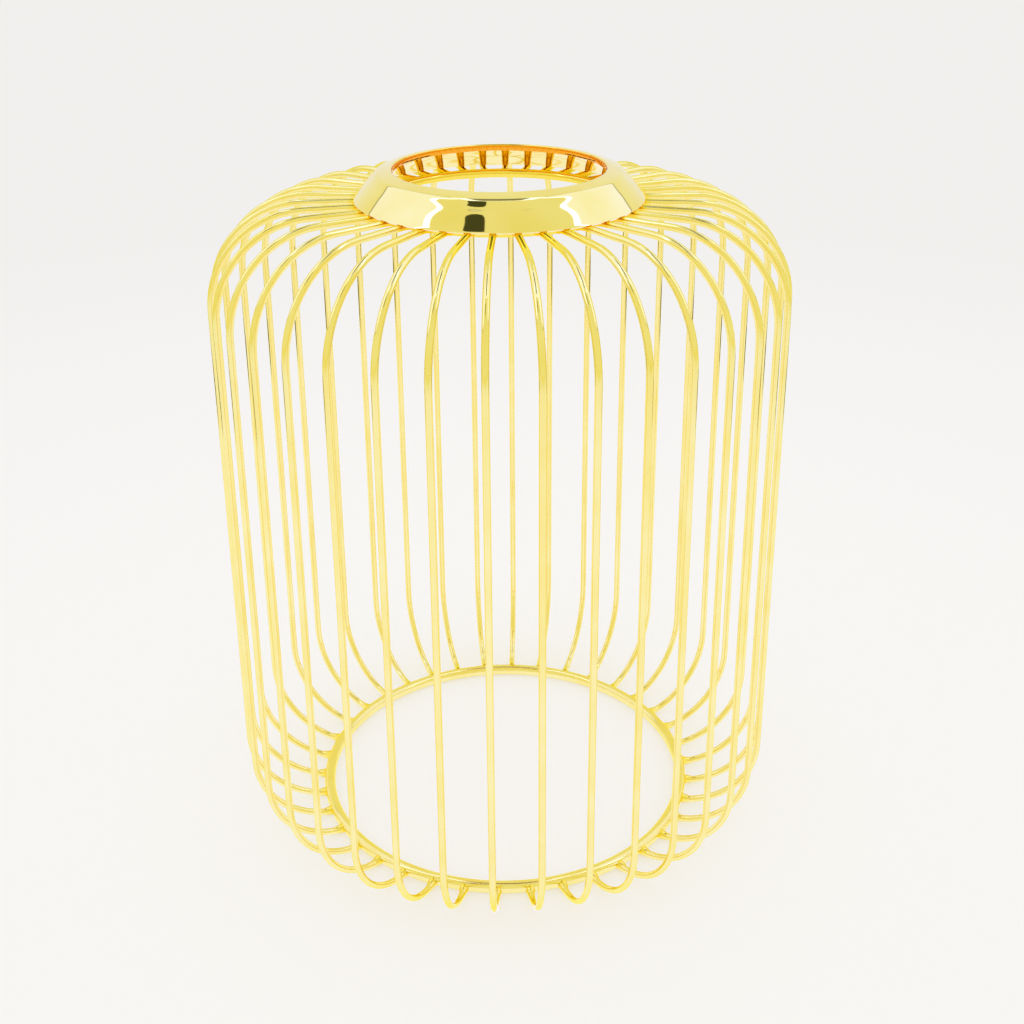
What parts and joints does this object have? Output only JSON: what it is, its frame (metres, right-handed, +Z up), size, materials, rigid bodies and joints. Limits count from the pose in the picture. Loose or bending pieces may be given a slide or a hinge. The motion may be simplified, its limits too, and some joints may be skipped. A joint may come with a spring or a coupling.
{
  "type": "wire cage lampshade",
  "caption": "Open drum lampshade: a round cage of bent wires welded to a small top ring and a thicker foot ring, with a spun collar round the lamp opening.",
  "frame": {"origin": "middle of the base that the shade stands on, on the axis of the shade", "axes": "+Z up along the axis of the shade, from the foot ring to the lamp opening; +X and +Y are level"},
  "size_m": [0.2104, 0.2098, 0.2583],
  "materials": {
    "collar_gold": "polished yellow gold plating on spun sheet steel",
    "ring_gold": "polished yellow gold plating on steel rod",
    "wire_gold": "polished yellow gold plating on drawn steel wire"
  },
  "bodies": {
    "root": {"top_collar": "collar_gold", "top_ring": "ring_gold", "bottom_ring": "ring_gold", "wire_01": "wire_gold", "wire_02": "wire_gold", "wire_03": "wire_gold", "wire_04": "wire_gold", "wire_05": "wire_gold", "wire_06": "wire_gold", "wire_07": "wire_gold", "wire_08": "wire_gold", "wire_09": "wire_gold", "wire_10": "wire_gold", "wire_11": "wire_gold", "wire_12": "wire_gold", "wire_13": "wire_gold", "wire_14": "wire_gold", "wire_15": "wire_gold", "wire_16": "wire_gold", "wire_17": "wire_gold", "wire_18": "wire_gold", "wire_19": "wire_gold", "wire_20": "wire_gold", "wire_21": "wire_gold", "wire_22": "wire_gold", "wire_23": "wire_gold", "wire_24": "wire_gold", "wire_25": "wire_gold", "wire_26": "wire_gold", "wire_27": "wire_gold", "wire_28": "wire_gold", "wire_29": "wire_gold", "wire_30": "wire_gold", "wire_31": "wire_gold", "wire_32": "wire_gold", "wire_33": "wire_gold", "wire_34": "wire_gold", "wire_35": "wire_gold", "wire_36": "wire_gold", "wire_37": "wire_gold", "wire_38": "wire_gold"}
  },
  "joints": []
}
